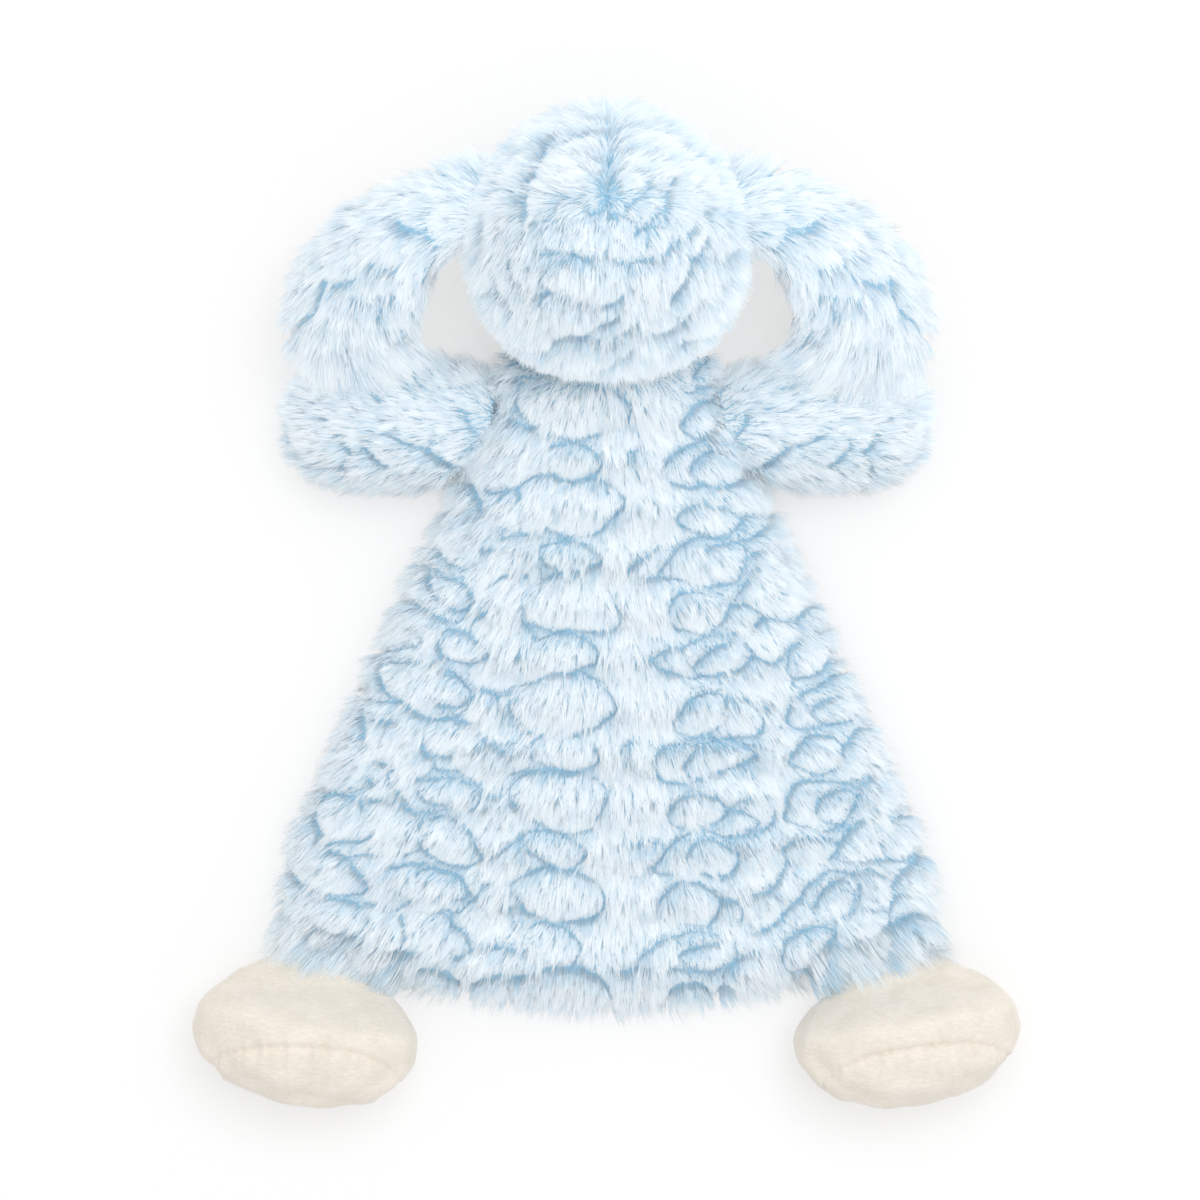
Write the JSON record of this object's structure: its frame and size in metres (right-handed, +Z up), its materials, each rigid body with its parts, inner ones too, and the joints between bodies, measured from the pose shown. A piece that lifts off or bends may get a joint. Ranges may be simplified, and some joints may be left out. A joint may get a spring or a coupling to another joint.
{
  "type": "comfort blanket lovey",
  "caption": "Soft puppy comforter with a stuffed head, floppy ears, short arms, a flared flat body and stuffed feet, lying on its front.",
  "frame": {"origin": "on the surface that the toy lies on, below the middle of its length and width", "axes": "+Y runs along the body towards the crown of the head, +Z is up out of the toy's back, and +X is to the toy's own right as it lies on its front"},
  "size_m": [0.2698, 0.3277, 0.0865],
  "materials": {
    "blue_plush": "long soft pile",
    "cream_velour": "short velour nap",
    "white_filling": "loose fibre",
    "brown_thread": "satin stitch"
  },
  "bodies": {
    "torso": {"torso_back_panel": "blue_plush", "torso_front_panel": "blue_plush", "torso_wadding": "white_filling"},
    "head": {"head_back_left_panel": "blue_plush", "head_back_right_panel": "blue_plush", "face_panel": "blue_plush", "head_filling": "white_filling", "muzzle_cover": "cream_velour", "muzzle_filling": "white_filling", "nose": "brown_thread", "left_eye": "brown_thread", "right_eye": "brown_thread", "mouth_stitch": "brown_thread"},
    "left_ear": {"left_ear_plush": "blue_plush", "left_ear_lining": "cream_velour"},
    "right_ear": {"right_ear_plush": "blue_plush", "right_ear_lining": "cream_velour"},
    "left_arm": {"left_arm_back_panel": "blue_plush", "left_arm_front_panel": "blue_plush", "left_arm_filling": "white_filling"},
    "right_arm": {"right_arm_back_panel": "blue_plush", "right_arm_front_panel": "blue_plush", "right_arm_filling": "white_filling"},
    "left_foot": {"left_foot_upper": "cream_velour", "left_foot_sole": "cream_velour", "left_foot_filling": "white_filling"},
    "right_foot": {"right_foot_upper": "cream_velour", "right_foot_sole": "cream_velour", "right_foot_filling": "white_filling"}
  },
  "joints": [
    {"name": "neck_tilt", "type": "hinge", "parent": "torso", "child": "head", "pos_m": [0, 0.07468, 0.02], "axis": [1, 0, 0], "range_deg": [-15, 20]},
    {"name": "left_ear_lift", "type": "hinge", "parent": "head", "child": "left_ear", "pos_m": [-0.04741, 0.12987, 0.05], "axis": [0.2079, 0.9781, 0], "range_deg": [0, 85]},
    {"name": "right_ear_lift", "type": "hinge", "parent": "head", "child": "right_ear", "pos_m": [0.04741, 0.12987, 0.05], "axis": [0.2079, -0.9781, 0], "range_deg": [0, 85]},
    {"name": "left_arm_swing", "type": "hinge", "parent": "torso", "child": "left_arm", "pos_m": [-0.02995, 0.06187, 0.0155], "axis": [0.342, 0.9397, 0], "range_deg": [-40, 40]},
    {"name": "right_arm_swing", "type": "hinge", "parent": "torso", "child": "right_arm", "pos_m": [0.02995, 0.06187, 0.0155], "axis": [0.342, -0.9397, 0], "range_deg": [-40, 40]},
    {"name": "left_foot_swing", "type": "hinge", "parent": "torso", "child": "left_foot", "pos_m": [-0.09099, -0.11109, 0.0082], "axis": [-0.9563, 0.2924, 0], "range_deg": [-40, 70]},
    {"name": "right_foot_swing", "type": "hinge", "parent": "torso", "child": "right_foot", "pos_m": [0.09099, -0.11109, 0.0082], "axis": [-0.9563, -0.2924, 0], "range_deg": [-40, 70]}
  ]
}
